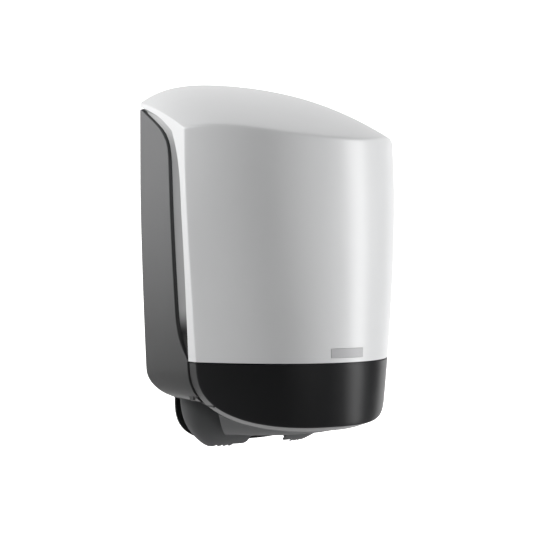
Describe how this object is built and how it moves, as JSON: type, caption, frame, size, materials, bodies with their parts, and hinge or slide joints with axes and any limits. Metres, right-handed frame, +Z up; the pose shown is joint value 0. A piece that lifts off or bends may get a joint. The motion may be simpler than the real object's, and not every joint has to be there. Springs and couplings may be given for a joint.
{
  "type": "centrefeed roll dispenser",
  "caption": "Wall-mounted centrefeed paper roll dispenser with a slanted white cover that hinges open at the bottom, a dark lower band and a split tear outlet underneath.",
  "frame": {"origin": "on the flat wall face of the back shell, on its vertical middle line, midway between the top of the casing and 200 mm below it", "axes": "+Z up, +X to the right seen from the front, -Y out of the wall towards the user, +Y into the wall"},
  "size_m": [0.2456, 0.2127, 0.3986],
  "materials": {
    "cover_white": "satin moulded",
    "band_black": "fine grained",
    "badge_grey": "plain printed plate",
    "shell_dark_grey": "satin moulded",
    "tray_grey": "satin moulded",
    "platform_grey": "moulded",
    "chute_white": "moulded",
    "zinc_steel": "zinc plated",
    "latch_black": "moulded",
    "slide_grey": "moulded",
    "button_grey": "moulded"
  },
  "bodies": {
    "base": {"back_shell": "shell_dark_grey", "outlet_tray": "tray_grey", "roll_platform": "platform_grey", "paper_chute": "chute_white", "hinge_pin_left": "zinc_steel", "hinge_pin_right": "zinc_steel", "latch_bracket": "latch_black", "latch_spring": "zinc_steel", "bracket_screw_left": "zinc_steel", "bracket_screw_right": "zinc_steel", "tray_screw_rear_left": "zinc_steel", "tray_screw_rear_right": "zinc_steel", "tray_screw_front_left": "zinc_steel", "tray_screw_front_right": "zinc_steel", "platform_screw_rear_left": "zinc_steel", "platform_screw_rear_right": "zinc_steel", "platform_screw_front_left": "zinc_steel", "platform_screw_front_right": "zinc_steel"},
    "cover": {"cover_shell": "cover_white", "lower_band": "band_black", "badge_plate": "badge_grey", "band_screw_outer_left": "zinc_steel", "band_screw_inner_left": "zinc_steel", "band_screw_inner_right": "zinc_steel", "band_screw_outer_right": "zinc_steel", "cover_keeper": "latch_black", "keeper_screw_left": "zinc_steel", "keeper_screw_right": "zinc_steel"},
    "slide": {"latch_slide": "slide_grey"},
    "button": {"release_button": "button_grey"},
    "lock": {"lock_barrel": "zinc_steel", "lock_cam": "zinc_steel"}
  },
  "joints": [
    {"name": "cover_hinge", "type": "hinge", "parent": "base", "child": "cover", "pos_m": [0, -0.102, -0.137], "axis": [1, 0, 0], "range_deg": [0, 95]},
    {"name": "button_press", "type": "slide", "parent": "base", "child": "button", "axis": [-1, 0, 0], "range_m": [0, 0.004], "stiffness_N_per_m": 600, "springref_m": -0.003},
    {"name": "slide_travel", "type": "slide", "parent": "base", "child": "slide", "axis": [-1, 0, 0], "range_m": [0, 0.004], "deforming": ["latch_spring"]},
    {"name": "lock_turn", "type": "hinge", "parent": "button", "child": "lock", "pos_m": [0.118, -0.04, 0.112], "axis": [-1, 0, 0], "range_deg": [0, 90]}
  ],
  "couplings": [
    {"joint": "slide_travel", "follows": "button_press", "ratio": 1}
  ]
}
